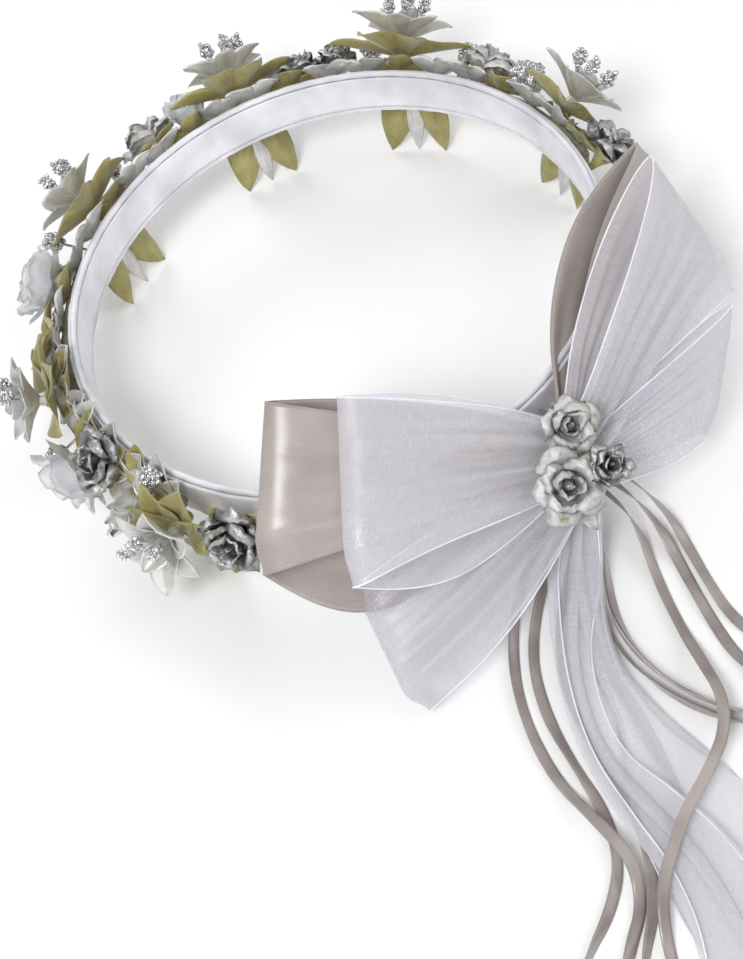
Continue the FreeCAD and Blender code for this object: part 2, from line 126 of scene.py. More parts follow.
class Cloth:
    """Collects grids of points, in millimetres, into one mesh with real-size UVs."""

    def __init__(self):
        self.verts, self.faces, self.slots, self.uvs = [], [], [], []

    def grid(self, rows, slot=0, around=False, ring=False):
        """Rows of equal length. around closes each row on itself; ring joins the last row to the first."""
        start, n = len(self.verts), len(rows[0])
        for row in rows:
            self.verts += [Vector(p) for p in row]
        run = [0.0]
        for a, b in zip(rows, rows[1:] + rows[:1]):
            run.append(run[-1] + (Vector(b[n // 2]) - Vector(a[n // 2])).length)
        last = len(rows) if ring else len(rows) - 1
        wide = n if around else n - 1
        for i in range(last):
            k = (i + 1) % len(rows)
            across = [0.0]
            for j in range(wide):
                step = Vector(rows[i][(j + 1) % n]) - Vector(rows[i][j])
                across.append(across[-1] + step.length)
            for j in range(wide):
                m = (j + 1) % n
                here, there = start + i * n, start + k * n
                self.faces.append((here + j, here + m, there + m, there + j))
                self.slots.append(slot)
                for u, v in ((j, i), (j + 1, i), (j + 1, i + 1), (j, i + 1)):
                    self.uvs.append((across[u] * MM, run[v] * MM))

    def cap(self, row, slot=0):
        start = len(self.verts)
        self.verts += [Vector(p) for p in row]
        self.faces.append(tuple(range(start, start + len(row))))
        self.slots.append(slot)
        self.uvs += [(p[0] * MM, p[1] * MM) for p in row]

    def closed(self, rows, slot=0):
        """Rings joined into a tube with both ends capped."""
        self.grid(rows, slot, around=True)
        self.cap(rows[0][::-1], slot)
        self.cap(rows[-1], slot)

    def tube(self, points, radius, slot=0, sides=6):
        """A round tube along points; radius is a number or a function of the share along it."""
        rows = []
        turn = None
        for i, p in enumerate(points):
            way = heading(points, i)
            if turn is None:
                turn = way.orthogonal().normalized()
            turn = (turn - way * turn.dot(way)).normalized()
            other = way.cross(turn)
            r = radius(i / (len(points) - 1)) if callable(radius) else radius
            rows.append([p + turn * r * cos(a) + other * r * sin(a) for a in circle(sides)])
        self.closed(rows, slot)

    def blob(self, centre, radius, seed, rough, lumps, size=(10, 7)):
        """A bead; rough is how high its lumps are, lumps how fine."""
        around, high = size
        rows = []
        for i in range(high + 1):
            e = max(min(pi * (i / high - 0.5), 1.5), -1.5)
            row = []
            for a in circle(around):
                d = vec(cos(e) * cos(a), cos(e) * sin(a), sin(e))
                row.append(centre + d * radius * (1 + rough * bumpy(d * radius, lumps, seed)))
            rows.append(row)
        self.closed(rows)

    def build(self, name, materials, thickness=0.0):
        mesh = bpy.data.meshes.new(name)
        mesh.from_pydata([v * MM for v in self.verts], [], self.faces)
        layer = mesh.uv_layers.new(name="flat")
        for loop, uv in zip(layer.data, self.uvs):
            loop.uv = uv
        for material in materials:
            mesh.materials.append(material)
        for poly, slot in zip(mesh.polygons, self.slots):
            poly.material_index = slot
            poly.use_smooth = True
        mesh.validate()
        obj = bpy.data.objects.new(name, mesh)
        bpy.context.scene.collection.objects.link(obj)
        if thickness:
            solid = obj.modifiers.new("thickness", "SOLIDIFY")
            solid.thickness, solid.offset = thickness * MM, 0.0
        return obj


def hand_in(cloth, name, materials, body, slot, *nodes, thickness=0.0):
    """Builds a piece that rides on a body and stands for CAD nodes, which it hides; slot is not used."""
    obj = cloth.build(name, materials, thickness)
    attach(obj, body)
    if nodes:
        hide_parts(*nodes)
    return obj


# ---- materials ----
class Shade:
    """A node material with a few shorthands."""

    def __init__(self, name, rough, metallic=0.0, **sockets):
        self.material = bpy.data.materials.new(name)
        self.material.use_nodes = True
        self.tree = self.material.node_tree
        self.out = self.tree.nodes["Principled BSDF"]
        self.out.inputs["Roughness"].default_value = rough
        self.out.inputs["Metallic"].default_value = metallic
        for key, value in sockets.items():
            self.out.inputs[key.replace("_", " ")].default_value = value

    def feed(self, socket, value):
        """Links another node's output, or sets a plain value."""
        if isinstance(value, bpy.types.NodeSocket):
            self.tree.links.new(value, socket)
        else:
            socket.default_value = value

    def node(self, kind, **values):
        """A new node; each keyword is one of its inputs or one of its settings."""
        made = self.tree.nodes.new("ShaderNode" + kind)
        for key, value in values.items():
            title = key.replace("_", " ")
            if title in made.inputs:
                self.feed(made.inputs[title], value)
            else:
                setattr(made, key, value)
        return made

    def flat(self, u, v):
        """The cloth's own real-size coordinates, u across and v along, times these scales."""
        uv = self.node("UVMap", uv_map="flat").outputs["UV"]
        return self.node("Mapping", Vector=uv, Scale=(u, v, 1)).outputs["Vector"]

    def place(self):
        return self.node("TexCoord").outputs["Object"]

    def noise(self, vector, scale, detail, rough):
        made = self.node("TexNoise", Vector=vector, Scale=scale, Detail=detail, Roughness=rough)
        return made.outputs["Fac"]

    def cloud(self, scale, detail, rough=0.5):
        """Noise through the piece."""
        return self.noise(self.place(), scale, detail, rough)

    def threads(self, u, v, detail, rough):
        """Noise drawn out along or across the cloth."""
        return self.noise(self.flat(u, v), 1.0, detail, rough)

    def ramp(self, fac, stops):
        made = self.node("ValToRGB", Fac=fac)
        ramp = made.color_ramp
        while len(ramp.elements) < len(stops):
            ramp.elements.new(0.5)
        for element, (at, colour) in zip(ramp.elements, stops):
            element.position = at
            element.color = (*colour, 1)
        return made.outputs["Color"]

    def span(self, fac, low, high, to_low, to_high):
        made = self.node("MapRange", Value=fac)
        names = ("From Min", "From Max", "To Min", "To Max")
        for key, value in zip(names, (low, high, to_low, to_high)):
            made.inputs[key].default_value = value
        return made.outputs["Result"]

    def mix(self, fac, a, b):
        """Mixes two colours; the colour inputs of the mix node are 6 and 7, its colour output is 2."""
        made = self.node("Mix", data_type="RGBA")
        for index, value in ((0, fac), (6, a), (7, b)):
            self.feed(made.inputs[index], (*value, 1) if isinstance(value, tuple) else value)
        return made.outputs[2]

    def maths(self, operation, a, b):
        made = self.node("Math", operation=operation)
        self.feed(made.inputs[0], a)
        self.feed(made.inputs[1], b)
        return made.outputs[0]

    def blend(self, a, share, b):
        """A share of a and the rest of b."""
        return self.maths("ADD", self.maths("MULTIPLY", a, share), self.maths("MULTIPLY", b, 1 - share))

    def set(self, name, socket):
        self.tree.links.new(socket, self.out.inputs[name])

    def colour(self, socket):
        self.set("Base Color", socket)

    def bump(self, height, strength, distance):
        last = self.out.inputs["Normal"].links
        made = self.node("Bump", Height=height, Strength=strength, Distance=distance * MM)
        if last:
            self.tree.links.new(last[0].from_socket, made.inputs["Normal"])
        self.set("Normal", made.outputs["Normal"])


def satin(name, dark, light, rough, sheen):
    """Satin ribbon: long floats of thread along it, fine ribs across it."""
    s = Shade(name, rough, Sheen_Weight=sheen, Sheen_Roughness=0.35, Specular_IOR_Level=0.6,
              Anisotropic=0.35)
    streaks = s.threads(2600, 120, 4, 0.6)
    cloudy = s.cloud(60, 3)
    s.colour(s.ramp(s.blend(streaks, 0.08, cloudy), [(0.34, dark), (0.66, light)]))
    s.set("Roughness", s.span(streaks, 0.3, 0.7, rough - 0.03, rough + 0.05))
    s.bump(streaks, 0.05, 0.02)
    ribs = s.node("TexWave", Vector=s.flat(1, 1), Scale=900.0, bands_direction="Y").outputs["Fac"]
    s.bump(ribs, 0.12, 0.04)
    s.bump(s.cloud(120, 2), 0.12, 0.25)
    return s.material


def organza(name, tint, alpha):
    """Sheer woven cloth with a stiff shine; scattered flecks in patches are painted near white as glints,
    with a little metallic shine.
    """
    s = Shade(name, 0.36, Sheen_Weight=0.5, Sheen_Roughness=0.3, Specular_IOR_Level=0.7)
    warp = s.threads(3800, 260, 3, 0.6)
    weft = s.threads(260, 3400, 3, 0.6)
    weave = s.blend(warp, 0.5, weft)
    cloud = s.cloud(45, 3)
    dark = tuple(0.94 * c for c in tint)
    bright = tuple(min(1.07 * c, 1) for c in tint)
    patchy = s.span(cloud, 0.35, 0.65, 0.0, 1.0)
    cloth = s.mix(patchy, s.ramp(weave, [(0.35, dark), (0.65, bright)]), tint)
    s.set("Alpha", s.span(weave, 0.36, 0.64, alpha - 0.07, alpha + 0.07))
    # painted glints: bright flecks in cloudy patches, mixed towards white in the colour, with some
    # metallic shine
    glint = s.node("TexVoronoi", Vector=s.flat(1500, 1500), Scale=1.0).outputs["Distance"]
    patch = s.span(s.cloud(34, 3), 0.50, 0.64, 0.0, 1.0)
    painted_glint = s.maths("MULTIPLY", s.span(glint, 0.16, 0.34, 1.0, 0.0), patch)
    s.colour(s.mix(s.maths("MULTIPLY", painted_glint, 0.75), cloth, (1.0, 1.0, 1.0)))
    s.set("Metallic", s.maths("MULTIPLY", painted_glint, 0.4))
    s.set("Roughness", s.span(weave, 0.35, 0.65, 0.28, 0.48))
    s.bump(weave, 0.12, 0.05)
    s.bump(s.cloud(130, 3), 0.25, 0.5)
    return s.material


def foil(name, dark, light, rough, metallic):
    """Crumpled metallic paper, with painted shade making it darker in the dips of its crumples."""
    s = Shade(name, rough, metallic, Specular_IOR_Level=0.45)
    crush_and_shade = s.cloud(420, 4, 0.6)
    wide = s.cloud(130, 2)
    half_way = tuple((a + b) / 2 for a, b in zip(dark, light))
    # painted shade: the colour darkens where the crumple noise, which is also the bump, dips
    s.colour(s.ramp(s.blend(crush_and_shade, 0.5, wide), [(0.34, dark), (0.52, half_way), (0.66, light)]))
    s.set("Roughness", s.span(crush_and_shade, 0.3, 0.7, rough - 0.1, rough + 0.14))
    s.bump(crush_and_shade, 1.0, 0.7)
    s.bump(s.cloud(1500, 2), 0.2, 0.08)
    return s.material


def leaf_cloth(name, dark, light, metallic):
    """Stiffened leaf cloth: veins along it, a brushed metallic bloom."""
    s = Shade(name, 0.46, metallic, Sheen_Weight=0.35, Sheen_Roughness=0.4)
    veins = s.threads(1500, 90, 3, 0.55)
    bloom = s.cloud(110, 4)
    s.colour(s.ramp(s.blend(veins, 0.4, bloom), [(0.34, dark), (0.66, light)]))
    s.set("Roughness", s.span(bloom, 0.3, 0.7, 0.36, 0.58))
    s.bump(veins, 0.5, 0.16)
    s.bump(s.cloud(900, 2), 0.2, 0.1)
    return s.material


def glitter(name, tint):
    """A crust of tiny bright flakes, each at its own tilt."""
    s = Shade(name, 0.2, 0.75, Specular_IOR_Level=0.8)
    cells = s.node("TexVoronoi", Vector=s.place(), Scale=2600.0)
    tone = s.node("SeparateColor", Color=cells.outputs["Color"]).outputs["Red"]
    s.colour(s.ramp(tone, [(0.0, tuple(0.45 * c for c in tint)), (0.5, tint), (1.0, (1, 1, 1))]))
    s.bump(tone, 0.9, 0.3)
    s.bump(cells.outputs["Distance"], 0.5, 0.2)
    return s.material


def grainy(name, dark, light, rough, metallic, scale, depth):
    """A plain stuff with a fine grain."""
    s = Shade(name, rough, metallic)
    grain = s.cloud(scale, 4, 0.6)
    s.colour(s.ramp(grain, [(0.35, dark), (0.65, light)]))
    s.set("Roughness", s.span(grain, 0.3, 0.7, max(rough - 0.08, 0.05), rough + 0.1))
    s.bump(grain, 0.4, depth)
    return s.material


WHITE_SATIN = satin("white_satin", (0.62, 0.62, 0.67), (0.84, 0.84, 0.88), 0.38, 0.3)
PIPING = satin("piping_satin", (0.58, 0.58, 0.63), (0.80, 0.80, 0.85), 0.42, 0.3)
TAUPE = satin("taupe_satin", (0.33, 0.29, 0.275), (0.40, 0.355, 0.335), 0.27, 0.25)
NARROW = satin("narrow_satin", (0.24, 0.20, 0.19), (0.38, 0.335, 0.315), 0.22, 0.15)
BINDING = satin("binding_satin", (0.22, 0.18, 0.175), (0.33, 0.28, 0.27), 0.4, 0.2)
ORGANZA = organza("bow_organza", (0.665, 0.655, 0.705), 0.46)
# a darker, less sheer copy of the bow organza for the lower loops: painted shade
SHADED_ORGANZA = organza("lower_organza", (0.54, 0.53, 0.58), 0.50)
ROSE_ORGANZA = organza("flower_organza", (0.66, 0.67, 0.69), 0.72)
EDGE = satin("organza_edge", (0.66, 0.66, 0.75), (0.86, 0.86, 0.92), 0.34, 0.3)
LEAF = leaf_cloth("olive_leaf", (0.22, 0.185, 0.055), (0.45, 0.405, 0.165), 0.08)
PETAL = leaf_cloth("silver_petal", (0.42, 0.42, 0.40), (0.80, 0.80, 0.78), 0.42)
FOIL = foil("antique_foil", (0.15, 0.15, 0.15), (0.66, 0.66, 0.65), 0.34, 0.78)
PALE_FOIL = foil("pale_foil", (0.33, 0.33, 0.32), (0.75, 0.75, 0.74), 0.50, 0.35)
GLITTER = glitter("silver_glitter", (0.66, 0.67, 0.69))
TAPE = grainy("floral_tape", (0.22, 0.22, 0.15), (0.38, 0.38, 0.28), 0.7, 0.0, 700, 0.3)
GLUE = grainy("hot_glue", (0.62, 0.60, 0.52), (0.78, 0.76, 0.68), 0.25, 0.0, 300, 0.3)
BUCKRAM = grainy("buckram", (0.62, 0.61, 0.57), (0.80, 0.79, 0.75), 0.85, 0.0, 1400, 0.3)
WIRE = grainy("steel_wire", (0.38, 0.38, 0.39), (0.62, 0.62, 0.63), 0.3, 0.9, 900, 0.05)


# ---- the streamers: narrow satin ribbons on their own routes ----
STREAMER_W = 3.4
STREAMER_T = 0.3
T = REST_Z + STREAMER_W / 2
# for each ribbon: the tilt of its width from level, in degrees, at even shares of its length,
# and its route, whose points lie on the table where they have no height
STREAMERS = {
    "left_1": ((80, 62, 34, 20, 14, 24, 60, 30), [
        (-10.5, -107, -17.8), (-22, -108.5, -21), (-35, -111.5, -26.5), (-47, -119), (-58, -131),
        (-67, -146.5), (-72.5, -163), (-74.5, -180, -26.6), (-76, -193.5, -26.6), (-83, -203),
        (-94, -208.5), (-105, -216), (-112, -228), (-113.5, -242)]),
    "left_2": ((84, 66, 42, 30, 22, 36, 70, 40), [
        (-8.7, -107, -21.6), (-19, -111, -25), (-30, -115.5, -28.8), (-41, -122), (-51.5, -132),
        (-60, -146), (-65.5, -162), (-70, -177), (-77.5, -190), (-90, -198), (-104, -202.5),
        (-117, -209.5), (-127, -221)]),
    "left_3": ((82, 60, 50, 36, 26, 44, 66, 36), [
        (-5, -107, -21.6), (-13.5, -114.5, -25.5), (-25, -120.5, -29.6), (-37, -128), (-47, -138.5),
        (-54.5, -152), (-59.5, -168), (-65, -184), (-73, -197), (-82, -206.4), (-93, -213),
        (-104, -222.5), (-110, -236), (-108, -250)]),
    "right_1": ((84, 50, 26, 18, 30, 12, 24, 60), [
        (2.1, -107, -17.8), (3.6, -115.5, -21.5), (2, -125, -26.5), (-3.5, -135), (-9.5, -146),
        (-15, -158, -29.8), (-20, -169.5, -27), (-25, -181, -23.2), (-33, -189, -23.2),
        (-45, -193.3, -24), (-57.5, -196.2, -24.2), (-68.5, -201, -24.4), (-78, -206, -24.6), (-87, -215),
        (-93.5, -226.5), (-97, -240)]),
    "right_2": ((80, 46, 22, 16, 26, 38, 24, 18), [
        (5.9, -107, -17.8), (8, -116, -22), (7.5, -127, -27), (3.5, -138), (-1.5, -149), (-6.5, -161),
        (-10.5, -173), (-11, -186), (-5, -198), (5.5, -206.5), (18, -211), (30, -218)]),
    "right_3": ((78, 40, 18, 24, 14, 28, 20, 16), [
        (9.7, -107, -17.8), (12, -116.5, -22.5), (12, -128, -28), (8, -139), (3, -150.5), (-1.5, -162.5),
        (-2, -175), (4, -186.5), (14.5, -194.5), (27, -199.5), (38, -207)]),
    "mid_1": ((82, 74, 66, 72, 64, 58, 40, 30), [
        (2.6, -107, -21.6), (-4.5, -116, -26), (-14, -126.5, -29.8), (-22.5, -137), (-27.6, -150),
        (-29, -164), (-26.6, -177.5), (-21, -190), (-12, -201), (-1, -210.5), (9, -221), (15, -233)]),
    "mid_2": ((84, 78, 72, 66, 70, 60, 44, 26), [
        (-1.2, -107, -21.6), (-7.8, -113.8, -25.6), (-17, -124.2, -29.6), (-25.5, -134.7),
        (-31.1, -148.7), (-32.7, -163.6), (-30.3, -178.2), (-24.5, -191.6), (-15.4, -203.6),
        (-4.5, -213.6), (4.5, -225), (8.5, -238)]),
    "mid_3": ((80, 70, 76, 68, 60, 64, 50, 34), [
        (-1.7, -107, -17.8), (-6, -114.9, -21.9), (-15.5, -125.3, -26.3), (-24, -135.9, -26.7),
        (-29.4, -149.3, -26.7), (-30.9, -163.8, -26.7), (-28.4, -177.9, -26.7), (-22.9, -191, -26.7),
        (-19.2, -205.5, -28.8), (-16, -220), (-14, -234.5), (-16.5, -248)]),
}


def line_of(name, route):
    """Points read from the smooth spline that has the route's points as its control points."""
    curve = bpy.data.curves.new(name + "_route", "CURVE")
    curve.dimensions = "3D"
    spline = curve.splines.new("NURBS")
    spline.points.add(len(route) - 1)
    for point, place in zip(spline.points, route):
        x, y, z = (*place, T)[:3]
        point.co = (x * MM, y * MM, z * MM, 1)
    spline.order_u = 3
    spline.use_endpoint_u = True
    spline.resolution_u = 10
    carrier = bpy.data.objects.new(name + "_route", curve)
    bpy.context.scene.collection.objects.link(carrier)
    mesh = bpy.data.meshes.new_from_object(carrier)
    points = [v.co / MM for v in mesh.vertices]
    bpy.data.objects.remove(carrier)
    bpy.data.curves.remove(curve)
    bpy.data.meshes.remove(mesh)
    return points


def at_share(values, share):
    """A smooth value between evenly spaced ones."""
    x = share * (len(values) - 1)
    i = min(int(x), len(values) - 2)
    return lerp(values[i], values[i + 1], smooth(x - i))


def streamer(name, tilts, route):
    points = line_of(name, route)
    count = len(points)
    seed = float(len(name) + sum(map(ord, name)) % 17)
    rows, path = [], []
    half, thick = STREAMER_W / 2, STREAMER_T / 2
    for i, p in enumerate(points):
        share = i / (count - 1)
        way = heading(points, i)
        level = way.cross(UP).normalized()
        up = level.cross(way)
        tilt = radians(at_share(tilts, share) + 34 * bumpy(p, 0.045, seed))
        lying = smooth((T + 2.0 - p.z) / 1.6)
        p = p - vec(0, 0, lying * (half - thick - 0.1 - half * abs(sin(tilt))))
        wide = level * cos(tilt) + up * sin(tilt)
        face = up * cos(tilt) - level * sin(tilt)
        path.append(p * MM)
        row = []
        for side in (1, -1):
            for k in range(5):
                u = side * (1 - k / 2)
                lift = 0.06 * (1 - u * u) - 0.03
                row.append(p + wide * (u * half) + face * (lift + side * thick))
        rows.append(row)
    cloth = Cloth()
    cloth.closed(rows)
    obj = hand_in(cloth, name + "_ribbon", [NARROW], "tails", "narrow_satin", name)


for streamer_name, streamer_row in STREAMERS.items():
    streamer("streamer_" + streamer_name, *streamer_row)


# ---- ribbon loops of the bow ----
def through(points, steps):
    """A smooth line through points (tuples or vectors of any length)."""
    out = []
    last = len(points) - 1
    for i in range(last):
        a, b, c, d = (Vector(points[min(max(k, 0), last)]) for k in (i - 1, i, i + 1, i + 2))
        for k in range(steps):
            t = k / steps
            out.append(0.5 * (2 * b + (c - a) * t + (2 * a - 5 * b + 4 * c - d) * t * t
                              + (3 * b - a - 3 * c + d) * t ** 3))
    out.append(Vector(points[-1]))
    return out


BEHIND = vec(0, 1.0, 1.2)
BEFORE = vec(-1.2, -3.0, 4.4)
UNDER = vec(-0.5, -2.0, -2.5)
# one side of a loop seen along its edge: share of the reach, share of half the depth
FRONT_LINE = [(0.045, 0.10), (0.16, 0.50), (0.36, 0.84), (0.60, 1.0), (0.78, 0.99), (0.91, 0.80),
              (0.975, 0.45)]
LOOP_LINE = FRONT_LINE + [(1.0, 0.0)] + [(s, -y) for s, y in reversed(FRONT_LINE)]
# for each loop: root, upper and lower corner of the outer fold, depth, how soon the upper and lower
# edge fan out (1 is straight), how rounded the two corners are, where the far and near layers'
# edges are pushed to midway, creases (place, height)
LOOPS = {
    "satin_loop_left": (
        KNOT + BEHIND, (-59, -49, 41), (-93, -70.5, 12.5), 13, 0.55, 1.15, (0, 0.03),
        {"far_top": (1, 0.9, 1.2), "near_top": (-1.7, -1.3, -1.8), "far_low": (-14, -11, -15)},
        [(-0.45, 0.6), (0.35, -0.6)]),
    "satin_loop_right": (
        KNOT + BEHIND, (83, -60, 30), (87, -85, -13), 7, 0.80, 0.9, (0.02, 0.03),
        {"far_top": (-8, 7.5, 3.4), "near_top": (-3.5, 5, -1), "near_low": (0, 3, -2)},
        [(-0.4, 0.9), (0.45, -0.9)]),
    "organza_loop_left_upper": (
        KNOT + BEFORE, (-47.5, -70, 48), (-80, -97.5, 17), 14, 0.46, 0.68, (0, 0.03),
        {"far_top": (1.2, 1.2, 1.6), "far_low": (-2, -7, -6), "near_low": (-1, 2, 3)},
        [(-0.72, 1.2), (-0.38, -1.7), (-0.05, 1.9), (0.3, -1.3), (0.62, 1.2)]),
    "organza_loop_left_lower": (
        KNOT + UNDER, (-72, -83, -8.5), (-85.5, -118.5, -29), 10, 0.7, 0.6, (0, 0.06),
        {"far_low": (1.2, -2.2, -0.4), "near_low": (2, -3.4, -0.8)},
        [(-0.6, 1), (-0.2, -1.5), (0.25, 1.5), (0.6, -0.8)]),
    "organza_loop_right_upper": (
        KNOT + BEFORE, (75, -73, 37), (79, -99, -4), 12, 0.85, 0.50, (0, 0.05),
        {"far_top": (-3, 1.4, 2), "near_top": (0.5, -2, 1.5), "near_low": (1.5, 4.5, 5)},
        [(-0.66, 1.2), (-0.3, -1.7), (0.02, 1.9), (0.36, -1.3), (0.7, 1)]),
    "organza_loop_right_lower": (
        KNOT + UNDER * 0.9, (64, -112, 9), (38, -124, -16.5), 9, 0.62, 0.62, (0.02, 0.05),
        {"near_low": (1.5, -2, -0.5)},
        [(-0.5, 1.1), (-0.1, -1.4), (0.4, 1.3)]),
}
ROOT_HALF = 5             # half the width of a loop where it is gathered
HEM_R = 0.26              # the wired hem of the sheer ribbon
LOOP_STEPS = 7
LOOP_COLUMNS = 52
PLEATS = 5.2
FRONT_WAY = vec(-0.253, -0.543, 0.8)


def loop_rows(row, seed, loosen):
    root, top, bottom, depth, fan_top, fan_bottom, corners, pushes, creases = row
    top, bottom = Vector(top), Vector(bottom)
    pushes = {key: Vector(value) for key, value in pushes.items()}
    middle = (top + bottom) / 2
    along = (middle - root).normalized()
    across = top - bottom
    ribbon = across.length
    across = (across - along * across.dot(along)).normalized()
    front = across.cross(along)
    if front.dot(FRONT_WAY) < 0:
        front = -front
    rows = []
    for s, y in through(LOOP_LINE, LOOP_STEPS):
        s = min(s, 1.0)
        line = []
        near = y >= 0
        side = "near" if near else "far"
        phase = seed * 2 + (0.0 if near else 0.7)
        swell = sin(pi * s ** 1.25)
        for j in range(LOOP_COLUMNS + 1):
            v = -1 + 2 * j / LOOP_COLUMNS
            fan = s ** lerp(fan_bottom, fan_top, smooth((v + 1) / 2))
            corner = corners[0] if v > 0 else corners[1]
            reach = s * (1 - corner * smooth((abs(v) - 0.5) / 0.5) ** 1.5 * s)
            p = root + (middle - root) * reach + lerp(across * ROOT_HALF, (top - bottom) / 2, fan) * v
            p += front * (depth / 2 * y * (1 - 0.18 * v * v))
            wide = lerp(2 * ROOT_HALF, ribbon, fan)
            spare = sqrt(max((ribbon / wide) ** 2 - 1, 0.0) * 2)
            pleat = min(0.62 * wide / (2 * pi * PLEATS) * spare, 1.9) * (1 - s) ** loosen
            turned = PLEATS * pi * v + phase + 1.5 * sin(2.3 * v + seed)
            lift = pleat * cos(turned) * smooth(s / 0.10)
            lift *= 1 + 0.5 * sin(3.1 * v + 2 * seed)
            for place, height in creases:
                at = place + 0.10 * sin(seed + 3 * place) * s + (0.0 if near else 0.07)
                lift += height * exp(-((v - at) / 0.075) ** 2) * smooth(s / 0.16) * (1 - 0.72 * s)
            lift += 0.9 * bumpy(p + front * (6 if near else -6), 0.045, seed) * smooth(s / 0.3)
            p += front * lift * (1 - 0.5 * smooth((s - 0.9) / 0.1))
            p += pushes.get(side + "_top", Vector()) * (swell * ((1 + v) / 2) ** 1.6)
            p += pushes.get(side + "_low", Vector()) * (swell * ((1 - v) / 2) ** 1.6)
            line.append(p)
        rows.append(line)
    return rows


def edges(name, rows, material, body, slot, radius=HEM_R, above=0.0):
    """The hems along both sides of a ribbon."""
    cloth = Cloth()
    for column in (0, -1):
        cloth.tube([row[column] + UP * above for row in rows], radius)
    return hand_in(cloth, name + "_edges", [material], body, slot)


def bow_loop(name, row, seed):
    sheer = name.startswith("organza")
    slot = "organza" if sheer else "taupe_satin"
    rows = loop_rows(row, seed, 1.0 if "upper" in name else 0.3 if sheer else 1.3)
    cloth = Cloth()
    cloth.grid(rows)
    # the lower sheer loops take the darker copy of the organza, which is painted shade
    stuff = TAUPE if not sheer else SHADED_ORGANZA if "lower" in name else ORGANZA
    obj = hand_in(cloth, name + "_cloth", [stuff], "bow", slot, name, thickness=0.0 if sheer else 0.3)
    hem = edges(name, rows, EDGE if sheer else TAUPE, "bow", slot, HEM_R if sheer else 0.22)


for index, (loop_name, loop_row) in enumerate(LOOPS.items()):
    bow_loop(loop_name, loop_row, index + 1.0)


# ---- the organza tails ----
FLAT_Z = REST_Z + 0.4
TAIL_W = 38.0
# stations along each tail: x, y, z, width there
TAILS = {
    "organza_tail_left": [
        (-4, -108, -13.8, 9), (-13, -115, -17.6, 14), (-25, -124, -22, 16), (-40.2, -137.4, -24.5, 11.5),
        (-52, -153, -26, 10.5), (-59.5, -169.5, -26.6, 12), (-62.4, -187.4, -26.6, 17),
        (-64.6, -204, -26.6, 20), (-69.8, -221.5, -27, 23), (-77.5, -239, -29.4, 28),
        (-86, -254, FLAT_Z, 32)],
    "organza_tail_right": [
        (-1, -109, -18.2, 7), (-13, -119, -22, 9), (-25.8, -131.7, -26, 8), (-36.8, -147.3, -30.5, 8.5),
        (-42.6, -163.7, FLAT_Z, 12.5), (-48.8, -181.2, FLAT_Z, 24), (-54, -199, FLAT_Z, 33),
        (-60, -217, FLAT_Z, 38), (-66, -235, FLAT_Z, 38), (-69, -250, FLAT_Z, 38)],
}
TAIL_STEPS = 7
TAIL_COLUMNS = 40


def tail(name, stations, seed, up):
    """A sheer ribbon gathered at the knot, opening out; its folds hang below or stand above its line."""
    line = through(stations, TAIL_STEPS)
    rows = []
    for i, q in enumerate(line):
        share = i / (len(line) - 1)
        before, after = line[max(i - 1, 0)], line[min(i + 1, len(line) - 1)]
        way = vec(after[0] - before[0], after[1] - before[1], 0).normalized()
        side = vec(way.y, -way.x, 0)
        half = q[3] / 2
        gather = max(0.0, 1 - q[3] / TAIL_W)
        row = []
        for j in range(TAIL_COLUMNS + 1):
            u = -1 + 2 * j / TAIL_COLUMNS
            turned = 2 * pi * u + 0.7 * sin(3 * share + seed)
            fold = 2.4 * gather * (0.5 - 0.5 * cos(turned))
            fold += (1.5 * gather + 0.4) * (0.5 - 0.5 * cos(3.3 * pi * u + seed + 2 * share))
            fold += 0.5 * (1 - gather) * (0.5 + 0.5 * bumpy(vec(u * 3, share * 9, seed), 1.0, seed))
            laid = 1.0 * gather
            out = (u - laid * sin(turned)) / max(1.0, 0.77 + 0.98 * laid)
            p = Vector(q[:3]) + side * (half * out)
            p.z = max(p.z + (fold if up else -fold), REST_Z + 0.12)
            row.append(p)
        rows.append(row)
    cloth = Cloth()
    cloth.grid(rows)
    obj = hand_in(cloth, name + "_cloth", [ORGANZA], "tails", "organza", name)
    hem = edges(name, rows, EDGE, "tails", "organza", above=0.3)


tail("organza_tail_left", TAILS["organza_tail_left"], 0.4, False)
tail("organza_tail_right", TAILS["organza_tail_right"], 2.1, True)


# ---- petals, leaves, roses ----
def petal(cloth, m, length, width, slot=0, *, cup, bend, wave, seed, ribs=0, start=0.0, size=(12, 8)):
    """A pointed petal or leaf: x of the matrix runs along it, z is its upper face."""
    along, wide = size
    rows = []
    for i in range(along + 1):
        a = i / along
        half = width / 2 * (sin(pi * min(a ** 0.85, 1.0)) ** 0.66 + 0.16 * (1 - a))
        half = max(half, 0.12)
        row = []
        for j in range(wide + 1):
            b = -1 + 2 * j / wide
            x = start + length * a
            y = half * b
            z = cup * half * abs(b) ** 1.6 - bend * length * a * a
            z -= 0.30 * exp(-(b / 0.16) ** 2) * sin(pi * a)
            z += wave * sin(7 * a + seed * 5 + (1.5 if b > 0 else 0)) * b * b
            if ribs:
                z += 0.26 * cos(ribs * pi * b) * sin(pi * a)
            p = m @ vec(x, y, z)
            row.append(p + jitter(p, 0.25, seed) * 0.22)
        rows.append(row)
    cloth.grid(rows, slot)


ROSE_STEPS = 10           # of each petal, along it and across it
PAPER_RINGS = ((2, 0.22, 0.03, 1.0, -0.2), (3, 0.26, 0.46, 1.0, 0.5), (4, 0.32, 0.78, 0.86, 1.0),
               (5, 0.34, 1.06, 0.62, 1.3))


